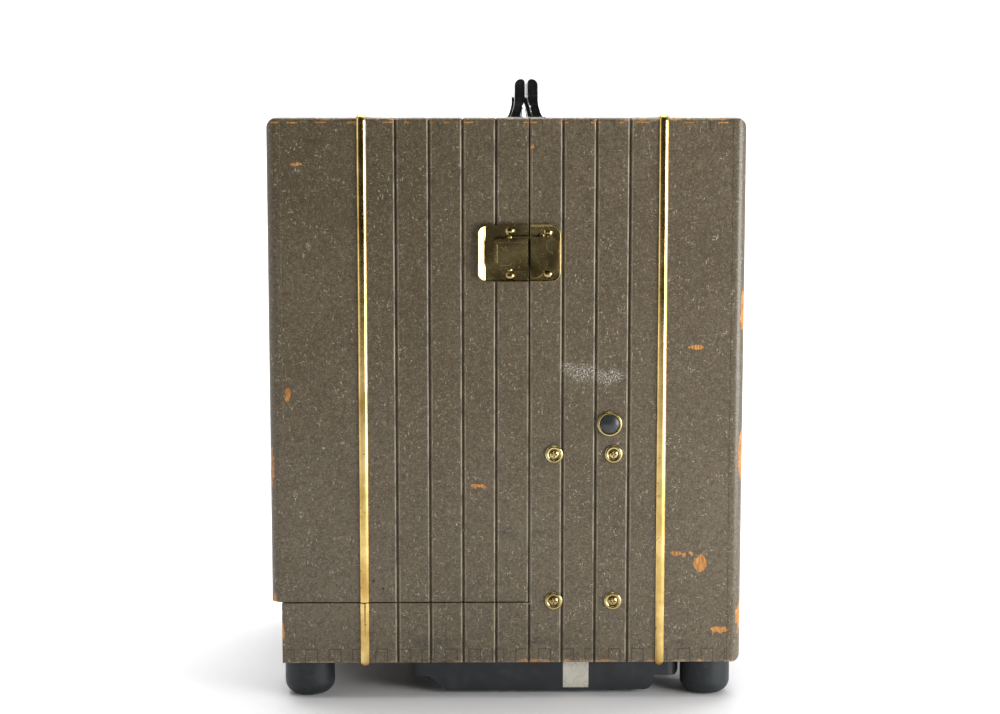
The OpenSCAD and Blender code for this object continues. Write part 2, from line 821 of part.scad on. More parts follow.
module lamp_socket() {
    color([0.85, 0.83, 0.78]) translate([lamp_x, 0, deck_z + 1.3]) difference() {
        union() {
            cylinder(r = 19, h = 38);
            box(-24, 24, -9, 9, 0, 6);
        }
        translate([0, 0, 24.5]) cylinder(r = 11.3, h = 20);
        translate([0, 0, -1]) cylinder(r = 5, h = 8);
    }
}

module reflector() {
    color(steel) translate([lamp_x, 0, axis_z]) rotate([0, 90, 0]) rotate_extrude() difference() {
        intersection() {
            circle(36, $fn = 96);
            translate([0, 27]) square([24, 10]);
        }
        circle(34.6, $fn = 96);
    }
    color(steel) difference() {
        box(lamp_x + 35, lamp_x + 37.5, -8, 8, deck_z + 1.3, axis_z + 8);
        translate([lamp_x, 0, axis_z]) sphere(35.6, $fn = 96);
    }
}

module condenser_housing() {
    color(black) translate([0, 0, axis_z]) rotate([0, 90, 0]) rotate_extrude() difference() {
        union() {
            translate([0, -3]) square([28, 55]);
            translate([0, 25.2]) square([34, 2.8]);
        }
        translate([-1, -1]) square([26.2, 60]);
        translate([-1, -4]) square([23.2, 60]);
    }
}

// Two plano-convex glasses with a heat-absorbing disc between them
module condenser_lenses() {
    color(glass) translate([0, 0, axis_z]) rotate([0, 90, 0]) {
        rotate_extrude() intersection() {
            translate([0, 40.5]) circle(41, $fn = 96);
            square([25, 9]);
        }
        translate([0, 0, 18]) cylinder(r = 25, h = 3);
        translate([0, 0, 30]) rotate_extrude() intersection() {
            translate([0, -26]) circle(40, $fn = 96);
            square([25, 16]);
        }
    }
}

carrier_h = 33;

module slide_gate() {
    color(black) difference() {
        union() {
            box(gate_x0, gate_x1, -46, 46, axis_z - carrier_h - 8, axis_z + carrier_h + 8);
            box(gate_x0 - 4, gate_x1 + 1, -52, 52, deck_z, deck_z + 3);
            for (y = [-34, 34]) box(gate_x0 + 4, gate_x1 - 4, y - 8, y + 8, deck_z, axis_z - carrier_h - 7);
        }
        box(gate_x0 + 4.6, gate_x1 - 4.6, -60, 60, axis_z - carrier_h, axis_z + carrier_h);
        translate([0, 0, axis_z]) rotate([0, 90, 0]) cylinder(r = 24, h = 80, center = true);
    }
}

carrier_y = slide_pitch / 2;
carrier_half = slide_pitch / 2 + 29;

module slide_carrier() {
    color(steel) translate([0, carrier_y, axis_z]) difference() {
        union() {
            box(gate_x0 + 5.1, gate_x1 - 5.1, -carrier_half, carrier_half, -carrier_h + 0.5, carrier_h - 0.5);
            for (s = [-1, 1]) translate([gate_mid, s * carrier_half, 0]) rotate([-s * 90, 0, 0])
                cylinder(r = 4.2, h = 8);
        }
        for (s = [-1, 1]) {
            box(gate_x0 + 8.6, gate_x1 - 8.6, s * carrier_y - 25.7, s * carrier_y + 25.7, -25.6, carrier_h);
            box(gate_x0, gate_x1, s * carrier_y - 18, s * carrier_y + 18, -14, 14);
        }
    }
}

module slide_mounts() {
    color([0.92, 0.91, 0.86]) translate([gate_mid, carrier_y, axis_z]) for (s = [-1, 1])
        translate([0, s * carrier_y, 0]) difference() {
            box(-0.8, 0.8, -25.4, 25.4, -25.5, 25.3);
            box(-2, 2, -17.2, 17.2, -11.5, 11.5);
        }
    color([0.25, 0.16, 0.12]) translate([gate_mid, carrier_y, axis_z]) for (s = [-1, 1])
        translate([0, s * carrier_y, 0]) box(-0.15, 0.15, -17.2, 17.2, -11.5, 11.5);
}

mount_x0 = -74;
mount_x1 = -28;

module lens_mount() {
    color(black) difference() {
        union() {
            translate([mount_x0, 0, axis_z]) rotate([0, 90, 0]) cylinder(r = 29, h = mount_x1 - mount_x0);
            box(mount_x0 + 6, mount_x1 - 8, -14, 14, deck_z + 1, axis_z - 20);
            box(mount_x0, mount_x1 - 4, -34, 34, deck_z, deck_z + 4);
            for (s = [-1, 1]) translate([pinion_x, s * 8, 0]) along_y(4)
                round_box(-8, axis_z + 20, 8, pinion_z + 7, [0, 0, 6.5, 6.5]);
        }
        translate([0, 0, axis_z]) rotate([0, 90, 0]) cylinder(r = barrel_r + 0.08, h = 400, center = true);
        box(mount_x0 - 1, mount_x1 + 1, -4.2, 4.2, axis_z + 10, axis_z + 40);
        translate([pinion_x, 0, pinion_z]) rotate([90, 0, 0]) cylinder(r = 2.56, h = 60, center = true);
    }
}

barrel_x0 = -118;
barrel_x1 = -34;

// Rack tooth flanks at 20 degrees, thinned slightly for running clearance
module rack_teeth() {
    pitch = PI * rack_module;
    half = pitch / 4 - 0.14;
    root_y = -1.25;
    tip_y = 0.8;
    root_x = half - root_y * tan(20);
    tip_x = half - tip_y * tan(20);
    for (i = [-2 : 6]) translate([(i + 0.5) * pitch, 0]) polygon([
        [-root_x, root_y - 0.5], [-root_x, root_y], [-tip_x, tip_y],
        [tip_x, tip_y], [root_x, root_y], [root_x, root_y - 0.5]]);
    translate([-2 * pitch, -4.4]) square([9 * pitch, 3.15]);
}

module lens_barrel() {
    color([0.10, 0.10, 0.11]) {
        translate([0, 0, axis_z]) rotate([0, 90, 0]) difference() {
            union() {
                translate([0, 0, barrel_x0]) cylinder(r = barrel_r, h = barrel_x1 - barrel_x0);
                translate([0, 0, barrel_x0]) cylinder(r = barrel_r + 2.6, h = 10);
            }
            translate([0, 0, barrel_x0 - 1]) cylinder(r = 21.6, h = 200);
            translate([0, 0, barrel_x0 - 1]) cylinder(r = 24, h = 4);
        }
        translate([pinion_x, 0, axis_z + barrel_r + 4]) along_y(5.6) rack_teeth();
    }
}

module lens_glass() {
    color(glass) translate([0, 0, axis_z]) rotate([0, 90, 0]) {
        translate([0, 0, barrel_x0 + 4]) rotate_extrude() intersection() {
            translate([0, 44]) circle(44, $fn = 96);
            translate([0, 0.2]) square([21.45, 9]);
        }
        translate([0, 0, barrel_x1 - 16]) rotate_extrude() intersection() {
            translate([0, -36]) circle(46, $fn = 96);
            square([21.45, 12]);
        }
    }
}

// Involute pinion: polar half-thickness angle of a tooth at radius r, in degrees
base_r = pinion_r * cos(20);
function inv_deg(a) = tan(a) * 180 / PI - a;
function half_angle(r) = (90 / pinion_teeth - 0.12 * 180 / (PI * pinion_r)) + inv_deg(20)
    - (r > base_r ? inv_deg(acos(base_r / r)) : 0);
tooth_radii = [for (i = [0 : 4]) base_r + (pinion_r + 0.85 - base_r) * i / 4];

module pinion_profile() {
    circle(pinion_r - 1.3);
    for (k = [0 : pinion_teeth - 1]) rotate(-90 + k * 360 / pinion_teeth) polygon(concat(
        [[0, 0]],
        [for (r = tooth_radii) r * [cos(half_angle(r)), -sin(half_angle(r))]],
        [for (i = [4 : -1 : 0]) let (a = half_angle(tooth_radii[i])) tooth_radii[i] * [cos(a), sin(a)]]));
}

module focus_knob() {
    color([0.12, 0.12, 0.13]) translate([pinion_x, 0, pinion_z]) {
        along_y(5.4) pinion_profile();
        rotate([90, 0, 0]) cylinder(r = 2.5, h = 74, center = true);
        for (s = [-1, 1]) translate([0, s * 44, 0]) along_y(14) difference() {
            circle(13);
            for (a = [0 : 15 : 345]) rotate(a) translate([13.6, 0]) circle(1.2, $fn = 24);
        }
    }
}

// ---------- blower ----------

module fan_motor() {
    color(steel) translate([fan_x, 0, 0]) difference() {
        union() {
            translate([0, 0, 6]) cylinder(r = 22, h = 15);
            translate([0, 0, 21]) cylinder(r = 8, h = 4);
            for (a = [0, 120, 240]) rotate(a) translate([20, -4, 18]) cube([fan_r - 9, 8, 2.4]);
            translate([0, 0, 18]) difference() {
                union() {
                    cylinder(r = fan_r + 6.4, h = 12);
                    translate([0, 0, z_bottom - 20]) cylinder(r = fan_r + 12, h = 2);
                }
                translate([0, 0, -1]) cylinder(r = fan_r + 4, h = 14);
            }
        }
        translate([0, 0, 12]) cylinder(r = 3.05, h = 20);
    }
}

module fan_rotor() {
    color([0.55, 0.56, 0.55]) translate([fan_x, 0, 0]) {
        translate([0, 0, 13]) cylinder(r = 3, h = 38);
        translate([0, 0, 36]) cylinder(r = 9, h = 14);
        for (a = [0 : 60 : 300]) rotate(a) translate([7, 0, 43]) rotate([38, 0, 0])
            translate([0, -9, -0.6]) cube([fan_r - 10, 18, 1.2]);
    }
}

// ---------- switch on the deck ----------

switch_x = -112;
switch_y = -74;
toggle_z = 3;

module switch_body() {
    color([0.15, 0.1, 0.08]) translate([switch_x, switch_y, deck_z]) {
        translate([-8, -12, -24]) cube([16, 24, 22.3]);
        difference() {
            translate([0, 0, -2]) cylinder(r = 6, h = 8);
            translate([0, 0, -1]) cylinder(r = 4.2, h = 10);
            translate([0, 0, toggle_z]) rotate([90, 0, 0]) cylinder(r = 1.05, h = 20, center = true);
        }
    }
}

module switch_lever() {
    color(steel) translate([switch_x, switch_y, deck_z + toggle_z]) rotate([0, -14, 0]) {
        sphere(2.9);
        rotate([90, 0, 0]) cylinder(r = 1, h = 11, center = true);
        cylinder(r1 = 1.6, r2 = 2.6, h = 17);
        translate([0, 0, 17]) sphere(2.6);
    }
}

// ---------- draw ----------

cover_front_panel();
cover_back_panel();
cover_end_board();
cover_top_board();
cover_trim_strip();
latch_base_plates();
front_latch_lever();
front_latch_hook();
back_latch_lever();
back_latch_hook();
latch_keepers();
latch_rivets();
cover_handle_grip();
cover_handle_brackets();
case_front_panel();
case_back_panel();
case_end_board();
case_top_board();
case_bottom_board();
tray_end_board();
case_trim_strip();
tray_trim_strips();
case_handle_grip();
case_handle_brackets();
register_lip();
rubber_feet();
underside_screws();
base_pan();
pan_label();
cup_washers();
panel_screws();
button_bezel();
push_button();
button_spring();
button_switch();
vent_grille();
power_inlet();
inlet_pins();
deck_plate();
side_brackets();
lamp_house();
lamp_house_lid();
lamp_bulb();
lamp_filament();
lamp_base();
lamp_socket();
reflector();
condenser_housing();
condenser_lenses();
slide_gate();
slide_carrier();
slide_mounts();
lens_mount();
lens_barrel();
lens_glass();
focus_knob();
fan_motor();
fan_rotor();
switch_body();
switch_lever();
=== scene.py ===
"""Slide projector in its wooden carrying case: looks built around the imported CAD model."""

import json
import math

import bmesh
import bpy
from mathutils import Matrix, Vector


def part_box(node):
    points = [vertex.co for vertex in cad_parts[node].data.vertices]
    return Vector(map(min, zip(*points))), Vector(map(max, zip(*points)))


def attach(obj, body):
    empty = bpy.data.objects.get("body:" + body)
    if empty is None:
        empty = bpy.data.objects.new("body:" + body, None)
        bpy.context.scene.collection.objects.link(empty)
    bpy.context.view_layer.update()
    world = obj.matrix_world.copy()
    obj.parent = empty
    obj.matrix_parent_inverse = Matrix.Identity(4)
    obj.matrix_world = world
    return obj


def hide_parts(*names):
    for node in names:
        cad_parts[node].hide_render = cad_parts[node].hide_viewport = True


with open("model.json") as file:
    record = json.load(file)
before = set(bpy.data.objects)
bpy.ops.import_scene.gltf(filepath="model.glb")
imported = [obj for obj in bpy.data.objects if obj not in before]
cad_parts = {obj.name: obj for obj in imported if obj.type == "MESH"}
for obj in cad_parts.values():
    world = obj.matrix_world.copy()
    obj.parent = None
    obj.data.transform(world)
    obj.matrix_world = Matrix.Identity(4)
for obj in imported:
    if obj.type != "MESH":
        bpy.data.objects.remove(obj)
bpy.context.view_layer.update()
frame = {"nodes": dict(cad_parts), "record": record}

NODES = frame["nodes"]
MM = 0.001

# ---------- camera: square to the latched face, a little above the middle ----------

CAMERA_PLACE = (-0.0212, -1.4264, 0.3872)
CAMERA_TILT = math.radians(90 - 6.68)
CAMERA_TURN = math.radians(-0.733)
CAMERA_LENS = 70.95


def add_camera():
    data = bpy.data.cameras.new("Camera")
    data.lens = CAMERA_LENS
    data.sensor_width = 36
    data.clip_start = 0.05
    camera = bpy.data.objects.new("Camera", data)
    camera.location = CAMERA_PLACE
    camera.rotation_euler = (CAMERA_TILT, 0, CAMERA_TURN)
    bpy.context.scene.collection.objects.link(camera)
    bpy.context.scene.camera = camera


add_camera()

# ---------- case measures, read from the frame ----------

END_LOW, END_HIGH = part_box("case_end_board")
X_HALF = END_HIGH.x
Y_HALF = END_HIGH.y
Z_TOP = END_HIGH.z
Z_BOTTOM = END_LOW.z
SPLIT_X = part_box("case_top_board")[0].x
Z_MID = (Z_TOP + Z_BOTTOM) / 2
TRAY_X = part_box("tray_end_board")[0].x
BOARD_T = 0.0095
FINGER_W = 0.0079
JOINT_LINE = 0.0003
GROOVE_PITCH = 0.0222

# ---------- node trees ----------


class Look:
    """One material: a Principled shader and short ways to add texture nodes to it."""

    def __init__(self, name, **values):
        self.material = bpy.data.materials.new(name)
        self.material.use_nodes = True
        self.tree = self.material.node_tree
        self.shader = self.tree.nodes["Principled BSDF"]
        for socket, value in values.items():
            self.shader.inputs[socket.replace("_", " ")].default_value = value
        self.place = self.add("ShaderNodeTexCoord").outputs["Object"]

    def add(self, kind, **properties):
        node = self.tree.nodes.new(kind)
        for key, value in properties.items():
            setattr(node, key, value)
        return node

    def plug(self, value, socket):
        if isinstance(value, bpy.types.NodeSocket):
            self.tree.links.new(value, socket)
        else:
            socket.default_value = value

    def math(self, operation, *values):
        node = self.add("ShaderNodeMath", operation=operation)
        for value, socket in zip(values, node.inputs):
            self.plug(value, socket)
        return node.outputs[0]

    def move(self, vector, shift=(0, 0, 0), turn=(0, 0, 0), scale=(1, 1, 1)):
        node = self.add("ShaderNodeMapping")
        self.plug(vector, node.inputs["Vector"])
        node.inputs["Location"].default_value = shift
        node.inputs["Rotation"].default_value = turn
        node.inputs["Scale"].default_value = scale
        return node.outputs[0]

    def noise(self, scale, detail=3.0, rough=0.55, vector=None, out="Fac"):
        node = self.add("ShaderNodeTexNoise")
        self.plug(vector or self.place, node.inputs["Vector"])
        node.inputs["Scale"].default_value = scale
        node.inputs["Detail"].default_value = detail
        node.inputs["Roughness"].default_value = rough
        return node.outputs[out]

    def cells(self, scale, vector=None, out="Distance", feature="F1"):
        node = self.add("ShaderNodeTexVoronoi", feature=feature)
        self.plug(vector or self.place, node.inputs["Vector"])
        node.inputs["Scale"].default_value = scale
        return node.outputs[out]

    def step(self, value, low, high, smooth=True):
        """0 below low, 1 above high; low may be the larger of the two."""
        node = self.add("ShaderNodeMapRange", clamp=True)
        node.interpolation_type = "SMOOTHSTEP" if smooth else "LINEAR"
        self.plug(value, node.inputs["Value"])
        if low > high:
            node.inputs["From Min"].default_value = high
            node.inputs["From Max"].default_value = low
            node.inputs["To Min"].default_value = 1
            node.inputs["To Max"].default_value = 0
        else:
            node.inputs["From Min"].default_value = low
            node.inputs["From Max"].default_value = high
        return node.outputs[0]

    def ramp(self, value, *stops):
        node = self.add("ShaderNodeValToRGB")
        self.plug(value, node.inputs[0])
        marks = node.color_ramp.elements
        while len(marks) < len(stops):
            marks.new(0.5)
        for mark, (position, colour) in zip(marks, stops):
            mark.position = position
            mark.color = (*colour, 1)
        return node.outputs[0]

    def mix(self, amount, first, second):
        node = self.add("ShaderNodeMix", data_type="RGBA")
        self.plug(amount, node.inputs[0])
        for value, socket in ((first, node.inputs[6]), (second, node.inputs[7])):
            self.plug((*value, 1) if isinstance(value, tuple) else value, socket)
        return node.outputs[2]

    def warp(self, amount, scale):
        """The place moved about by noise, so that what follows it wanders."""
        wander = self.add("ShaderNodeVectorMath", operation="SUBTRACT")
        self.plug(self.noise(scale, 2.0, out="Color"), wander.inputs[0])
        wander.inputs[1].default_value = (0.5, 0.5, 0.5)
        move = self.add("ShaderNodeVectorMath", operation="MULTIPLY_ADD")
        self.plug(wander.outputs[0], move.inputs[0])
        move.inputs[1].default_value = (amount, amount, amount)
        self.plug(self.place, move.inputs[2])
        return move.outputs[0]

    def gap_to(self, centre, stretch, vector):
        """Distance from a point, counted longer or shorter along each axis."""
        node = self.add("ShaderNodeVectorMath", operation="SUBTRACT")
        self.plug(vector, node.inputs[0])
        node.inputs[1].default_value = centre
        scaled = self.add("ShaderNodeVectorMath", operation="MULTIPLY")
        self.tree.links.new(node.outputs[0], scaled.inputs[0])
        scaled.inputs[1].default_value = stretch
        length = self.add("ShaderNodeVectorMath", operation="LENGTH")
        self.tree.links.new(scaled.outputs[0], length.inputs[0])
        return length.outputs["Value"]

    def axes(self, vector=None):
        node = self.add("ShaderNodeSeparateXYZ")
        self.plug(vector or self.place, node.inputs[0])
        return node.outputs

    def colour(self, value):
        self.plug(value, self.shader.inputs["Base Color"])

    def rough(self, value):
        self.plug(value, self.shader.inputs["Roughness"])

    def bump(self, height, distance, strength=1.0):
        node = self.add("ShaderNodeBump")
        self.plug(height, node.inputs["Height"])
        node.inputs["Distance"].default_value = distance
        node.inputs["Strength"].default_value = strength
        self.tree.links.new(node.outputs[0], self.shader.inputs["Normal"])


# ---------- flecked paint over wood ----------

# Bare wood shows in chips: place, size in metres, and how much narrower it is along x, y and z
CHIPS = [
    ((-0.146, -0.120, 0.209), 0.0032, (1.5, 1, 0.6)),
    ((0.1275, -0.120, 0.2405), 0.0034, (0.6, 1, 1.9)),
    ((0.131, -0.120, 0.0935), 0.0050, (1.1, 1, 0.8)),
    ((0.1145, -0.120, 0.1005), 0.0027, (0.7, 1, 1.2)),
    ((0.1205, -0.120, 0.0995), 0.0020, (0.9, 1, 1.0)),
    ((0.1250, -0.120, 0.1000), 0.0016, (1.0, 1, 1.0)),
    ((0.1450, -0.120, 0.0475), 0.0042, (0.6, 1, 1.9)),
    ((-0.0190, -0.120, 0.1470), 0.0034, (0.5, 1, 2.6)),
    ((0.0170, -0.120, 0.3740), 0.0014, (1.3, 1, 0.6)),
    ((0.1585, -0.1175, 0.2650), 0.0034, (1, 1, 0.22)),
    ((0.1590, -0.1175, 0.1690), 0.0040, (1, 1, 0.20)),
    ((0.1590, -0.1180, 0.0560), 0.0036, (1, 1, 0.26)),
    ((-0.1590, -0.1175, 0.1600), 0.0034, (1, 1, 0.22)),
    ((-0.1575, -0.1190, 0.0700), 0.0024, (1, 1, 0.40)),
    ((-0.1520, -0.1190, 0.0470), 0.0022, (1, 1, 0.30)),
    ((-0.1390, -0.120, 0.3620), 0.0022, (0.6, 1, 2.0)),
    ((0.1590, 0.030, 0.3100), 0.0050, (1, 0.5, 1.6)),
    ((0.1590, -0.060, 0.1500), 0.0040, (1, 1.5, 0.7)),
    ((-0.1590, 0.050, 0.2200), 0.0050, (1, 0.5, 1.5)),
    ((-0.1590, -0.040, 0.1050), 0.0040, (1, 1.4, 0.7)),
    ((-0.0600, 0.120, 0.1500), 0.0036, (0.6, 1, 1.8)),
    ((0.1000, 0.120, 0.2300), 0.0042, (0.8, 1, 1.3)),
    ((0.0700, 0.020, 0.3930), 0.0040, (0.6, 1.6, 1)),
    ((-0.0900, -0.050, 0.3930), 0.0036, (1.6, 0.7, 1)),
]
# Pale rubbed marks, dark stains and painted shade in nail holes on the front, said in the same way
SCUFFS = [
    ((0.0510, -0.120, 0.2235), 0.0125, (0.85, 1, 1.5)),
    ((0.0680, -0.120, 0.2210), 0.0110, (0.85, 1, 1.6)),
    ((0.0400, -0.120, 0.2270), 0.0070, (0.9, 1, 1.3)),
    ((-0.1310, -0.120, 0.3080), 0.0032, (1.3, 1, 0.8)),
    ((-0.1380, -0.120, 0.3580), 0.0034, (0.8, 1, 1.8)),
    ((-0.1420, -0.120, 0.1400), 0.0030, (1.8, 1, 0.5)),
]
STAINS = [
    ((0.0200, -0.120, 0.1150), 0.0048, (1, 1, 1.2)),
    ((-0.0030, -0.120, 0.1150), 0.0080, (0.7, 1, 1.6)),
    ((0.0220, -0.120, 0.0400), 0.0090, (0.6, 1, 2.0)),
    ((0.1180, -0.120, 0.0390), 0.0060, (0.7, 1, 1.8)),
    ((-0.0500, -0.120, 0.0400), 0.0110, (0.5, 1, 2.2)),
]
NAIL_HOLE_SHADE = [
    ((-0.0900, -0.120, 0.0820), 0.0011, (1, 1, 1)),
    ((-0.0835, -0.120, 0.0765), 0.0012, (1, 1, 1)),
]


def marks(look, spots, vector, soft):
    """1 inside any of the spots, 0 outside, with edges that follow the wandering vector."""
    total = None
    for centre, size, stretch in spots:
        gap = look.gap_to(centre, stretch, vector)
        spot = look.step(gap, size, size * soft)
        total = spot if total is None else look.math("MAXIMUM", total, spot)
    return total


def flecks(look, turn, stretch, scale, size, vector):
    """Short strokes lying one way: stretched cells, kept only near each cell's middle."""
    laid = look.move(vector, turn=turn, scale=stretch)
    near = look.cells(scale, laid)
    return look.step(near, size, size * 0.55)


def edge_gap(look):
    """How far the surface is from the nearest outer edge of the case."""
    x, y, z = look.axes()
    to_x = look.math("SUBTRACT", X_HALF, look.math("ABSOLUTE", x))
    to_y = look.math("SUBTRACT", Y_HALF, look.math("ABSOLUTE", y))
    half = (Z_TOP - Z_BOTTOM) / 2
    to_z = look.math("SUBTRACT", half, look.math("ABSOLUTE", look.math("SUBTRACT", z, Z_MID)))
    pairs = [look.math("ADD", to_x, to_y), look.math("ADD", to_y, to_z), look.math("ADD", to_x, to_z)]
    return look.math("MINIMUM", look.math("MINIMUM", pairs[0], pairs[1]), pairs[2])


def joint_lines(look):
    """Dark outlines of the box joint's fingers along the lower edge of the front and back."""
    x, y, z = look.axes(look.warp(0.0004, 200))
    along = look.math("DIVIDE", look.math("SUBTRACT", x, TRAY_X), FINGER_W)
    part = look.math("FRACT", along)
    to_side = look.math("MULTIPLY", look.math("MINIMUM", part, look.math("SUBTRACT", 1.0, part)), FINGER_W)
    sides = look.step(to_side, JOINT_LINE * 1.5, JOINT_LINE)
    up = look.math("SUBTRACT", z, Z_BOTTOM)
    even = look.math("LESS_THAN", look.math("FRACT", look.math("MULTIPLY", along, 0.5)), 0.5)
    level = look.math("ABSOLUTE", look.math("SUBTRACT", up, BOARD_T))
    tops = look.math("MULTIPLY", look.step(level, JOINT_LINE * 1.5, JOINT_LINE), even)
    low = look.step(up, BOARD_T + JOINT_LINE, BOARD_T)
    inside = look.math("LESS_THAN", x, X_HALF - BOARD_T)
    outer = look.step(look.math("ABSOLUTE", y), Y_HALF - 0.0015, Y_HALF - 0.0008)
    lines = look.math("MAXIMUM", look.math("MULTIPLY", sides, low), tops)
    return look.math("MULTIPLY", look.math("MULTIPLY", lines, inside), outer)


def joint_dashes(look):
    """Short worn dashes a few millimetres below the top edge, where the fingers' ends have swollen."""
    _, y, z = look.axes(look.warp(0.0012, 90))
    down = look.math("SUBTRACT", Z_TOP, z)
    level = look.math("ABSOLUTE", look.math("SUBTRACT", down, 0.0034))
    line = look.step(level, 0.00062, 0.00035)
    outer = look.step(look.math("ABSOLUTE", y), Y_HALF - 0.0012, Y_HALF - 0.0006)
    broken = look.noise(1, 0.0, vector=look.move(look.place, scale=(95, 0.01, 0.01)))
    return look.math("MULTIPLY", look.math("MULTIPLY", line, outer), look.step(broken, 0.53, 0.56))


def groove_highlights(look):
    """Painted highlights on the grooves' rounded edges: a wide bright one to the left and a narrow one to the
    right.
    """
    x, y, _ = look.axes()
    start = look.math("SUBTRACT", x, SPLIT_X - GROOVE_PITCH / 2)
    across = look.math("SUBTRACT", look.math("FLOORED_MODULO", start, GROOVE_PITCH), GROOVE_PITCH / 2)
    left = look.step(look.math("ABSOLUTE", look.math("ADD", across, 0.0015)), 0.0007, 0.0004)
    right = look.step(look.math("ABSOLUTE", look.math("SUBTRACT", across, 0.0013)), 0.0004, 0.0002)
    middle = SPLIT_X - GROOVE_PITCH / 2
    from_middle = look.math("ABSOLUTE", look.math("SUBTRACT", x, middle))
    inside = look.step(from_middle, 4.1 * GROOVE_PITCH, 4.0 * GROOVE_PITCH)
    outer = look.step(look.math("ABSOLUTE", y), Y_HALF - 0.0016, Y_HALF - 0.0010)
    broken = look.step(look.noise(70, 3.0, 0.7), 0.34, 0.60)
    lines = look.math("MAXIMUM", left, look.math("MULTIPLY", right, 0.7))
    return look.math("MULTIPLY", look.math("MULTIPLY", lines, inside), look.math("MULTIPLY", outer, broken))


def wood_colour(look):
    """Bare plywood: warm orange with fine darker grain."""
    grain = look.move(look.warp(0.004, 60), scale=(1, 1, 0.12))
    fibres = look.noise(1100, 3.0, 0.7, vector=grain)
    brown, orange, pale = (0.22, 0.070, 0.010), (0.46, 0.19, 0.030), (0.70, 0.37, 0.10)
    return look.ramp(fibres, (0.32, brown), (0.5, orange), (0.72, pale))


def base_coat(look, curl):
    """Umber, drifting between warm and grey over centimetres, with grit and coloured specks in it."""
    warm, umber, grey = (0.082, 0.060, 0.029), (0.102, 0.077, 0.041), (0.120, 0.093, 0.054)
    base = look.ramp(look.noise(13, 3.0), (0.30, warm), (0.52, umber), (0.75, grey))
    mottle = look.step(look.noise(420, 4.0, 0.8), 0.44, 0.62)
    base = look.mix(look.math("MULTIPLY", mottle, 0.8), base, (0.050, 0.036, 0.020))
    grit = look.step(look.noise(980, 2.0, 0.7), 0.52, 0.68)
    base = look.mix(look.math("MULTIPLY", grit, 0.62), base, (0.25, 0.20, 0.125))
    hue = look.axes(look.cells(900, curl, out="Color"))[0]
    base = look.mix(look.math("MULTIPLY", look.step(hue, 0.90, 0.96), 0.28), base, (0.16, 0.075, 0.035))
    return look.mix(look.math("MULTIPLY", look.step(hue, 0.10, 0.04), 0.28), base, (0.075, 0.090, 0.040))


def pale_fibres(look, curl):
    """Fibres lying four ways, fading in and out over the surface."""
    ways = [((0.3, 0.2, 0.5), (1, 1, 0.26), 420, 0.17), ((0.4, 1.3, 0.1), (0.26, 1, 1), 430, 0.16),
            ((1.1, 0.8, 0.9), (1, 1, 0.28), 380, 0.16), ((0.1, 2.2, 1.9), (0.3, 1, 1), 520, 0.16)]
    pale = None
    for turn, stretch, scale, size in ways:
        layer = flecks(look, turn, stretch, scale, size, curl)
        pale = layer if pale is None else look.math("MAXIMUM", pale, layer)
    return look.math("MULTIPLY", pale, look.step(look.noise(110, 2.0), 0.40, 0.66))


def handled(look, base):
    """Rubbed and stained patches, painted shade in the nail holes, outlines of the joints and painted
    highlights on the edges of the grooves.
    """
    crumbs = look.step(look.noise(900, 3.0, 0.7), 0.50, 0.60)
    rubbed = look.math("MULTIPLY", marks(look, SCUFFS, look.warp(0.006, 150), 0.35), crumbs)
    base = look.mix(look.math("MULTIPLY", rubbed, 0.85), base, (0.62, 0.60, 0.54))
    blots = look.step(look.noise(500), 0.42, 0.60)
    stained = look.math("MULTIPLY", marks(look, STAINS, look.warp(0.008, 120), 0.3), blots)
    base = look.mix(look.math("MULTIPLY", stained, 0.75), base, (0.030, 0.024, 0.018))
    # Near-black dots in the nail holes: painted shade.
    base = look.mix(marks(look, NAIL_HOLE_SHADE, look.place, 0.6), base, (0.008, 0.006, 0.005))
    base = look.mix(look.math("MULTIPLY", joint_lines(look), 0.8), base, (0.030, 0.018, 0.009))
    # Painted highlights on the groove edges lighten the coat there.
    return look.mix(look.math("MULTIPLY", groove_highlights(look), 0.55), base, (0.40, 0.34, 0.24))


def edge_wear(look):
    """Where the paint is worn through along the outer edges, and the cream undercoat beside it."""
    ragged = look.math("MULTIPLY", look.noise(110, 4.0, 0.75), 0.0075)
    long_wear = look.math("MULTIPLY", look.step(look.noise(21, 2.0), 0.48, 0.68), 0.0013)
    worn_at = look.math("SUBTRACT", look.math("ADD", edge_gap(look), ragged), long_wear)
    return look.step(worn_at, 0.0039, 0.0032), look.step(worn_at, 0.0050, 0.0038)


def painted_wood():
    look = Look("painted_wood", Specular_IOR_Level=0.45, Coat_Roughness=0.28, Coat_Weight=0.35)
    curl = look.warp(0.0022, 420)
    fibres = pale_fibres(look, curl)
    base = look.mix(look.math("MULTIPLY", fibres, 0.62), base_coat(look, curl), (0.52, 0.45, 0.33))
    dark = look.step(look.cells(520, look.move(curl, shift=(3, 1, 2))), 0.16, 0.08)
    base = look.mix(look.math("MULTIPLY", dark, 0.65), base, (0.020, 0.015, 0.010))
    base = handled(look, base)
    rim, cream = edge_wear(look)
    chip = marks(look, CHIPS, look.warp(0.0055, 210), 0.82)
    bare = look.math("MAXIMUM", look.math("MAXIMUM", rim, chip), joint_dashes(look))
    base = look.mix(look.math("MULTIPLY", cream, 0.35), base, (0.55, 0.43, 0.27))
    look.colour(look.mix(bare, base, wood_colour(look)))
    uneven = look.math("MULTIPLY", look.noise(300, 3.0), 0.22)
    dull = look.math("ADD", 0.34, look.math("MULTIPLY", bare, 0.2))
    look.rough(look.math("ADD", uneven, dull))
    grain = look.math("MULTIPLY", look.noise(700, 4.0, 0.7), 0.5)
    height = look.math("ADD", grain, look.math("MULTIPLY", fibres, 0.5))
    look.bump(look.math("SUBTRACT", height, look.math("MULTIPLY", bare, 1.2)), 0.00030)
    return look.material


# ---------- metals ----------


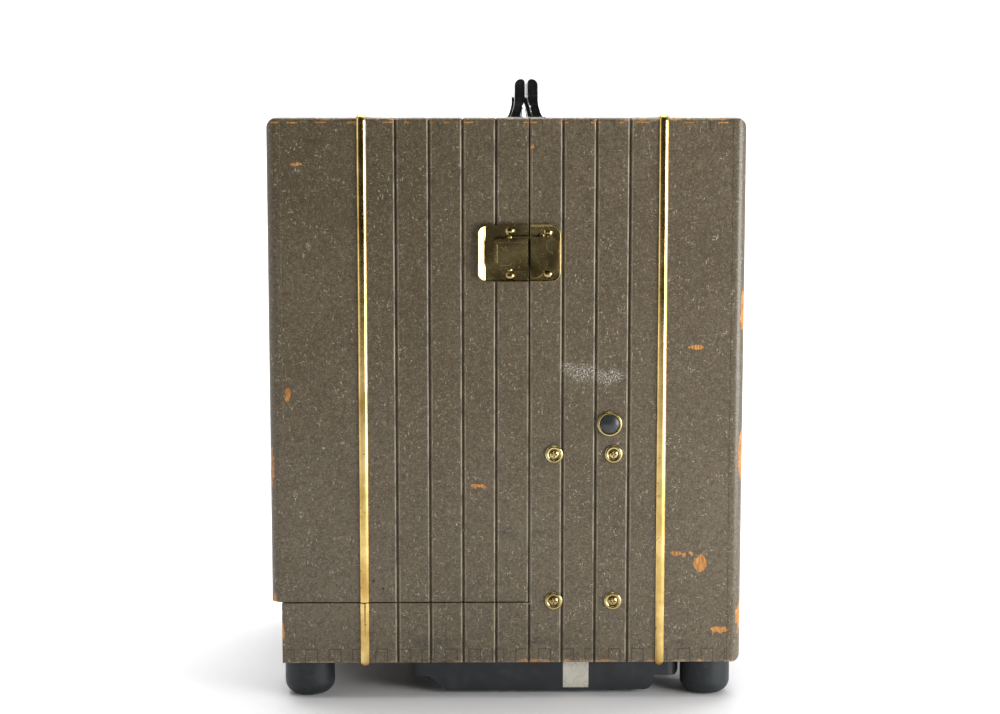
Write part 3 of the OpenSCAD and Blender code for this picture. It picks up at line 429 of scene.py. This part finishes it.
def brass(name, clean, dull, dirt, roughness, patch=0.5):
    look = Look(name, Metallic=1.0)
    cloud = look.noise(45, 4.0, 0.6, look.warp(0.01, 30))
    tone = look.ramp(cloud, (0.32, dull), (0.62, clean))
    spots = look.step(look.noise(310, 4.0, 0.7), 0.60, 0.72)
    tone = look.mix(look.math("MULTIPLY", spots, patch), tone, dirt)
    streak = look.noise(500, 2.0, vector=look.move(look.place, scale=(1, 1, 0.06)))
    look.colour(look.mix(look.math("MULTIPLY", look.step(streak, 0.55, 0.75), 0.35), tone, dull))
    spotted = look.math("ADD", roughness, look.math("MULTIPLY", spots, 0.25))
    look.rough(look.math("ADD", look.math("MULTIPLY", cloud, 0.16), spotted))
    look.bump(look.noise(260, 3.0), 0.00006, 0.6)
    return look.material


def bare_metal(name, tone, dark, roughness, along=(1, 1, 1)):
    look = Look(name, Metallic=1.0)
    brushed = look.noise(900, 3.0, vector=look.move(look.place, scale=along))
    look.colour(look.mix(look.step(brushed, 0.35, 0.7), dark, tone))
    look.rough(look.math("ADD", roughness, look.math("MULTIPLY", look.noise(120), 0.15)))
    look.bump(brushed, 0.00003, 0.5)
    return look.material


# ---------- plastics, rubber, enamel ----------


def moulded(name, tone, light, roughness, coat=0.0):
    look = Look(name, Specular_IOR_Level=0.5, Coat_Weight=coat, Coat_Roughness=0.08)
    look.colour(look.mix(look.step(look.noise(150, 3.0), 0.4, 0.75), tone, light))
    look.rough(look.math("ADD", roughness, look.math("MULTIPLY", look.noise(60, 3.0), 0.18)))
    look.bump(look.noise(500, 3.0), 0.00004, 0.6)
    return look.material


def rubber():
    look = Look("foot_rubber", Specular_IOR_Level=0.35)
    dust = look.step(look.noise(180, 4.0, 0.7), 0.48, 0.72)
    look.colour(look.mix(look.math("MULTIPLY", dust, 0.6), (0.0145, 0.018, 0.020), (0.045, 0.050, 0.052)))
    look.rough(look.math("ADD", 0.46, look.math("MULTIPLY", dust, 0.25)))
    look.bump(look.noise(800, 3.0), 0.00008, 0.7)
    return look.material


def enamel(name, tone, light, roughness, wrinkle, chips=True):
    look = Look(name, Specular_IOR_Level=0.5)
    skin = look.cells(900, look.warp(0.0015, 500), feature="SMOOTH_F1")
    tone_out = look.mix(look.step(look.noise(60, 4.0), 0.45, 0.75), tone, light)
    if chips:
        bare = look.step(look.noise(95, 5.0, 0.7), 0.735, 0.75)
        tone_out = look.mix(bare, tone_out, (0.30, 0.29, 0.27))
    look.colour(tone_out)
    look.rough(look.math("ADD", roughness, look.math("MULTIPLY", look.noise(140), 0.2)))
    look.bump(skin, wrinkle, 0.8)
    return look.material


def paper():
    look = Look("label_paper", Specular_IOR_Level=0.2, Roughness=0.75)
    fibre = look.noise(900, 4.0, 0.7)
    tone = look.ramp(look.noise(70, 3.0), (0.3, (0.50, 0.48, 0.40)), (0.7, (0.66, 0.65, 0.57)))
    # Thin darker lines along the label's creases: painted shade.
    crease_shade = look.step(look.math("ABSOLUTE", look.math("SUBTRACT", look.noise(110, 1.0), 0.5)), 0.012, 0.004)
    sheet = look.mix(look.math("MULTIPLY", fibre, 0.25), tone, (0.42, 0.38, 0.30))
    look.colour(look.mix(look.math("MULTIPLY", crease_shade, 0.5), sheet, (0.25, 0.22, 0.18)))
    look.bump(fibre, 0.00008, 0.7)
    return look.material


def glass(name, tint):
    look = Look(name, Transmission_Weight=1.0, IOR=1.5)
    look.colour(look.mix(look.step(look.noise(40), 0.3, 0.8), tint, (1.0, 1.0, 1.0)))
    look.rough(look.math("MULTIPLY", look.step(look.noise(200, 3.0), 0.55, 0.9), 0.08))
    return look.material


def ceramic():
    look = Look("socket_ceramic", Specular_IOR_Level=0.5)
    look.colour(look.ramp(look.noise(90, 4.0), (0.3, (0.62, 0.58, 0.50)), (0.7, (0.80, 0.78, 0.71))))
    look.rough(look.math("ADD", 0.35, look.math("MULTIPLY", look.noise(200), 0.3)))
    look.bump(look.noise(600, 3.0), 0.00006, 0.6)
    return look.material


def within(look, value, middle, half):
    """1 where the value is within half of the middle, with an edge of a fifth of a millimetre."""
    gap = look.math("ABSOLUTE", look.math("SUBTRACT", value, middle))
    return look.step(gap, half + 0.0002, half, smooth=False)


def slide_card():
    """Off-white mounts; the film in the window is told apart by its distance from each slide's middle."""
    look = Look("slide_card", Specular_IOR_Level=0.3)
    low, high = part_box("slide_mounts")
    _, y, z = look.axes()
    in_z = within(look, z, (low.z + high.z) / 2, 0.0115)
    film = None
    for side in (0.25, 0.75):
        in_y = within(look, y, low.y + (high.y - low.y) * side, 0.0171)
        both = look.math("MULTIPLY", in_y, in_z)
        film = both if film is None else look.math("MAXIMUM", film, both)
    mottle = look.math("MULTIPLY", look.noise(700, 4.0, 0.7), 0.4)
    card = look.mix(mottle, (0.80, 0.78, 0.70), (0.60, 0.56, 0.47))
    shadow, middle_tone, light = (0.02, 0.035, 0.06), (0.10, 0.07, 0.035), (0.30, 0.24, 0.15)
    picture = look.ramp(look.noise(70, 3.0), (0.35, shadow), (0.55, middle_tone), (0.75, light))
    look.colour(look.mix(film, card, picture))
    look.rough(look.math("SUBTRACT", 0.75, look.math("MULTIPLY", film, 0.6)))
    look.bump(look.noise(900, 3.0), 0.00005, 0.5)
    return look.material


PAINT = painted_wood()
TRIM = brass("brass_trim", (0.76, 0.55, 0.21), (0.44, 0.28, 0.08), (0.13, 0.07, 0.02), 0.08, 0.62)
LATCH = brass("latch_brass", (0.52, 0.42, 0.19), (0.27, 0.20, 0.08), (0.10, 0.060, 0.025), 0.12, 0.6)
WASHER = brass("washer_brass", (0.60, 0.49, 0.24), (0.36, 0.27, 0.11), (0.12, 0.08, 0.03), 0.15, 0.6)
PIN_BRASS = brass("pin_brass", (0.80, 0.62, 0.30), (0.62, 0.45, 0.18), (0.20, 0.12, 0.05), 0.22, 0.4)
HANDLE = moulded("handle_plastic", (0.012, 0.014, 0.014), (0.028, 0.031, 0.031), 0.16, coat=0.5)
GLOSS = moulded("black_plastic", (0.017, 0.021, 0.021), (0.030, 0.036, 0.036), 0.26, coat=0.15)
PHENOLIC = moulded("brown_plastic", (0.045, 0.022, 0.013), (0.080, 0.042, 0.026), 0.30)
RUBBER = rubber()
PAN = enamel("pan_metal", (0.0125, 0.015, 0.018), (0.026, 0.029, 0.032), 0.30, 0.00004)
WRINKLE = enamel("black_metal", (0.013, 0.013, 0.014), (0.024, 0.024, 0.025), 0.38, 0.00032)
DECK = enamel("deck_metal", (0.040, 0.043, 0.046), (0.062, 0.065, 0.068), 0.32, 0.00025)
BARREL = enamel("barrel_metal", (0.012, 0.012, 0.013), (0.020, 0.020, 0.021), 0.24, 0.00003, chips=False)
CHROME = bare_metal("chromed_steel", (0.82, 0.82, 0.82), (0.66, 0.66, 0.67), 0.06)
STEEL = bare_metal("screw_steel", (0.60, 0.59, 0.56), (0.40, 0.39, 0.37), 0.28)
ZINC = bare_metal("bracket_steel", (0.62, 0.62, 0.60), (0.46, 0.46, 0.44), 0.30)
MIRROR = bare_metal("reflector_metal", (0.88, 0.88, 0.87), (0.76, 0.76, 0.75), 0.06)
SATIN = bare_metal("carrier_metal", (0.68, 0.68, 0.67), (0.52, 0.52, 0.51), 0.28, (1, 0.08, 1))
LABEL = paper()
CLEAR = glass("clear_glass", (0.93, 0.97, 0.98))
CERAMIC = ceramic()
CARD = slide_card()

BY_SLOT = {
    "painted_wood": PAINT, "brass_trim": TRIM, "latch_brass": LATCH, "washer_brass": WASHER,
    "handle_plastic": HANDLE, "chromed_steel": CHROME, "foot_rubber": RUBBER, "screw_steel": STEEL,
    "pan_metal": PAN, "label_paper": LABEL, "black_plastic": GLOSS, "brown_plastic": PHENOLIC,
    "pin_brass": PIN_BRASS, "black_metal": WRINKLE, "deck_metal": DECK, "bracket_steel": ZINC,
    "clear_glass": CLEAR, "socket_ceramic": CERAMIC, "reflector_metal": MIRROR, "carrier_metal": SATIN,
    "slide_card": CARD, "barrel_metal": BARREL,
}

# ---------- finish on the CAD nodes ----------

# Edge rounding in millimetres for each slot; slots left out keep the CAD's own edges
EDGE = {
    "painted_wood": 0.35, "latch_brass": 0.3, "washer_brass": 0.18, "handle_plastic": 0.6,
    "pan_metal": 0.7, "black_metal": 0.3, "deck_metal": 0.2, "bracket_steel": 0.25, "black_plastic": 0.4,
    "brown_plastic": 0.5, "barrel_metal": 0.35, "carrier_metal": 0.3, "socket_ceramic": 0.6, "pin_brass": 0.3,
}


def finish_node(node, material, edge):
    """Smooth shading, a softened edge and a procedural material on a CAD node; the mesh itself stays."""
    node.data.materials.clear()
    node.data.materials.append(material)
    for polygon in node.data.polygons:
        polygon.use_smooth = True
    weld = node.modifiers.new("weld", "WELD")
    weld.merge_threshold = 0.000002
    if edge:
        flat = node.modifiers.new("flat", "DECIMATE")
        flat.decimate_type = "DISSOLVE"
        flat.angle_limit = math.radians(1)
        bevel = node.modifiers.new("edge", "BEVEL")
        bevel.width = edge * MM
        bevel.segments = 2
        bevel.limit_method = "ANGLE"
        bevel.angle_limit = math.radians(32)
        bevel.harden_normals = False
        bevel.use_clamp_overlap = True
    normals = node.modifiers.new("normals", "WEIGHTED_NORMAL")
    normals.keep_sharp = False
    normals.weight = 100


for part in frame["record"]["subparts"]:
    slot_name = part["material_slot"]
    finish_node(NODES[part["node"]], BY_SLOT[slot_name], EDGE.get(slot_name, 0))

# ---------- finer pieces in place of plain CAD nodes ----------

# Across and up, the same on the front and the back
SCREW_HEADS = [(x, z) for x in (0.0318, 0.0718) for z in (0.0678, 0.1684)]


def make_object(name, points, faces, material, body):
    mesh = bpy.data.meshes.new(name)
    mesh.from_pydata(points, [], faces)
    work = bmesh.new()
    work.from_mesh(mesh)
    bmesh.ops.recalc_face_normals(work, faces=work.faces)
    work.to_mesh(mesh)
    work.free()
    for polygon in mesh.polygons:
        polygon.use_smooth = True
    piece = bpy.data.objects.new(name, mesh)
    mesh.materials.append(material)
    bpy.context.scene.collection.objects.link(piece)
    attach(piece, body)
    return piece


def on_face(side, x, z):
    """Places a point given across, up and outwards from (x, z) on the front (-1) or back (1) face."""
    return lambda a, b, out: (x + a, side * (Y_HALF + out), z + b)


def turned(place, profile, turns=48):
    """Rings of points round the outward axis, one ring for each (radius, height) of a closed profile."""
    points = []
    for radius, height in profile:
        for i in range(turns):
            angle = 2 * math.pi * i / turns
            points.append(place(radius * math.cos(angle), radius * math.sin(angle), height))
    faces = []
    rows = len(profile)
    for row in range(rows):
        after = (row + 1) % rows
        for i in range(turns):
            j = (i + 1) % turns
            faces.append((row * turns + i, row * turns + j, after * turns + j, after * turns + i))
    return points, faces


def arc(centre_r, centre_h, radius, start, end, count=10):
    """Profile points on an arc, angles in degrees."""
    angles = [math.radians(start + (end - start) * i / count) for i in range(count + 1)]
    return [(centre_r + radius * math.cos(a), centre_h + radius * math.sin(a)) for a in angles]


def washer_profile():
    """Rolled rim with a channel inside it and a cone down to the screw."""
    outer = [(r * MM, h * MM) for r, h in arc(4.75, 0.45, 1.48, -15, 165)]
    seat = [(3.15 * MM, 0.55 * MM), (2.9 * MM, 0.45 * MM), (2.35 * MM, 0.05 * MM), (2.35 * MM, 0.01 * MM)]
    return outer + seat + [(6.0 * MM, 0.01 * MM)]


def in_cross(a, b, half_width, reach):
    """How far inside a cross-shaped recess a point lies: 0 outside, 1 well inside."""
    best = 0.0
    for across, along in ((a, b), (b, a)):
        wide = half_width * (1.25 - 0.35 * abs(along) / reach)
        side = min(max((wide - abs(across)) / (0.22 * MM), 0), 1)
        end = min(max((reach - abs(along)) / (0.3 * MM), 0), 1)
        best = max(best, side * end)
    return best


def screw_points(place):
    """Oval head with a cross recess, as rings from the middle out, closed underneath."""
    head_r, rings, turns = 3.1 * MM, 26, 72
    points = []
    for ring in range(1, rings + 1):
        radius = head_r * ring / rings
        for i in range(turns):
            angle = 2 * math.pi * i / turns
            a, b = radius * math.cos(angle), radius * math.sin(angle)
            dome = 1.95 * MM - 0.95 * MM * (radius / head_r) ** 2.4
            depth = 1.35 * MM * in_cross(a, b, 0.42 * MM, 2.1 * MM)
            points.append(place(a, b, dome - depth))
    for i in range(turns):
        angle = 2 * math.pi * i / turns
        points.append(place(2.4 * MM * math.cos(angle), 2.4 * MM * math.sin(angle), 0.3 * MM))
    faces = []
    for row in range(rings):
        for i in range(turns):
            j = (i + 1) % turns
            faces.append((row * turns + i, row * turns + j, (row + 1) * turns + j, (row + 1) * turns + i))
    faces.append(tuple(range(turns)))
    faces.append(tuple(range(rings * turns, (rings + 1) * turns)))
    return points, faces


def add_screws_and_washers():
    washers, screws = [], []
    for side in (-1, 1):
        for index, (x, z) in enumerate(SCREW_HEADS):
            place = on_face(side, x, z)
            label = f"{'front' if side < 0 else 'back'}_{index}"
            points, faces = turned(place, washer_profile())
            ring = make_object(f"washer_{label}", points, faces, WASHER, "case")
            points, faces = screw_points(place)
            head = make_object(f"screw_{label}", points, faces, WASHER, "case")
            washers.append(ring)
            screws.append(head)
    for ring in washers:
        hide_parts("cup_washers")
    for head in screws:
        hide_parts("panel_screws")


add_screws_and_washers()


def rod(name, start, end, radius, material, body):
    """A straight round wire with closed ends."""
    axis = (Vector(end) - Vector(start)).normalized()
    across = axis.cross(Vector((0, 1, 0))).normalized()
    other = axis.cross(across)
    turns = 16
    points = []
    for middle in (Vector(start), Vector(end)):
        for i in range(turns):
            angle = 2 * math.pi * i / turns
            points.append(middle + radius * (math.cos(angle) * across + math.sin(angle) * other))
    faces = [(i, (i + 1) % turns, turns + (i + 1) % turns, turns + i) for i in range(turns)]
    faces.append(tuple(range(turns)))
    faces.append(tuple(range(turns, 2 * turns)))
    return make_object(name, points, faces, material, body)


def add_handle_wires():
    """Bright stop wires just inside the cheeks of the four handle brackets."""
    for name, body in (("cover_handle_brackets", "cover"), ("case_handle_brackets", "case")):
        low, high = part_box(name)
        inner = high.x if body == "cover" else low.x
        away = -1 if body == "cover" else 1
        foot_x = inner + away * 1.5 * MM
        for label, y in (("front", low.y + 1.6 * MM), ("back", high.y - 1.6 * MM)):
            start = (foot_x, y, low.z + 0.7 * MM)
            end = (inner + away * 0.1 * MM, y, high.z - 0.8 * MM)
            rod(f"wire_{body}_{label}", start, end, 0.38 * MM, CHROME, body)


add_handle_wires()

# ---------- floor, light and surroundings ----------


def plain(name, tone, rough):
    look = Look(name, Roughness=rough, Specular_IOR_Level=0.2)
    look.colour(look.mix(look.step(look.noise(3, 3.0), 0.3, 0.8), tone, tuple(c * 0.985 for c in tone)))
    return look.material


def add_floor():
    """A pale sweep: flat under the case, turning up into a wall behind it."""
    width, front, back, radius, height = 4.0, -2.2, 1.0, 0.8, 3.0
    profile = [(front, 0.0), (back, 0.0)]
    turns = 16
    for i in range(1, turns + 1):
        angle = math.radians(90 * i / turns)
        profile.append((back + radius * math.sin(angle), radius * (1 - math.cos(angle))))
    profile.append((back + radius, height))
    mesh = bpy.data.meshes.new("floor")
    points = [(side * width, y, z) for y, z in profile for side in (-1, 1)]
    faces = [(2 * i, 2 * i + 1, 2 * i + 3, 2 * i + 2) for i in range(len(profile) - 1)]
    mesh.from_pydata(points, [], faces)
    for polygon in mesh.polygons:
        polygon.use_smooth = True
    floor = bpy.data.objects.new("floor", mesh)
    floor.data.materials.append(plain("floor_paper", (0.86, 0.86, 0.87), 0.7))
    bpy.context.scene.collection.objects.link(floor)


def add_area(name, place, aim, size, power):
    data = bpy.data.lights.new(name, "AREA")
    data.shape = "RECTANGLE"
    data.size, data.size_y = size
    data.energy = power
    lamp = bpy.data.objects.new(name, data)
    lamp.location = place
    lamp.rotation_euler = (Vector(aim) - Vector(place)).to_track_quat("-Z", "Y").to_euler()
    bpy.context.scene.collection.objects.link(lamp)


def add_world():
    """Surroundings that are dark on the camera's side and white at the sides and behind."""
    world = bpy.data.worlds.new("studio")
    world.use_nodes = True
    tree = world.node_tree
    place = tree.nodes.new("ShaderNodeTexCoord")
    split = tree.nodes.new("ShaderNodeSeparateXYZ")
    tree.links.new(place.outputs["Generated"], split.inputs[0])
    fade = tree.nodes.new("ShaderNodeValToRGB")
    stops = fade.color_ramp.elements
    stops[0].color = (0.035, 0.033, 0.03, 1)
    stops[1].color = (1, 1, 1, 1)
    stops.new(0.30).color = (0.10, 0.095, 0.085, 1)
    stops.new(0.52).color = (0.95, 0.95, 0.95, 1)
    shift = tree.nodes.new("ShaderNodeMath")
    shift.operation = "MULTIPLY_ADD"
    tree.links.new(split.outputs["Y"], shift.inputs[0])
    shift.inputs[1].default_value = 0.5
    shift.inputs[2].default_value = 0.5
    tree.links.new(shift.outputs[0], fade.inputs[0])
    tree.links.new(fade.outputs[0], tree.nodes["Background"].inputs[0])
    bpy.context.scene.world = world


add_floor()
add_area("right_soft_box", (1.00, -0.72, 0.16), (0.10, -0.1, 0.06), (0.7, 0.8), 19)
add_area("left_soft_box", (-1.3, -0.55, 0.6), (-0.1, -0.1, 0.22), (0.4, 1.2), 2)
add_area("backdrop_light", (0.0, 0.55, 2.1), (0.0, 1.7, 0.5), (2.6, 0.8), 60)
add_area("top_light", (0.1, 0.1, 1.9), (0.0, 0.0, 0.2), (1.4, 1.2), 16)
add_world()
bpy.context.scene.view_settings.view_transform = "Standard"
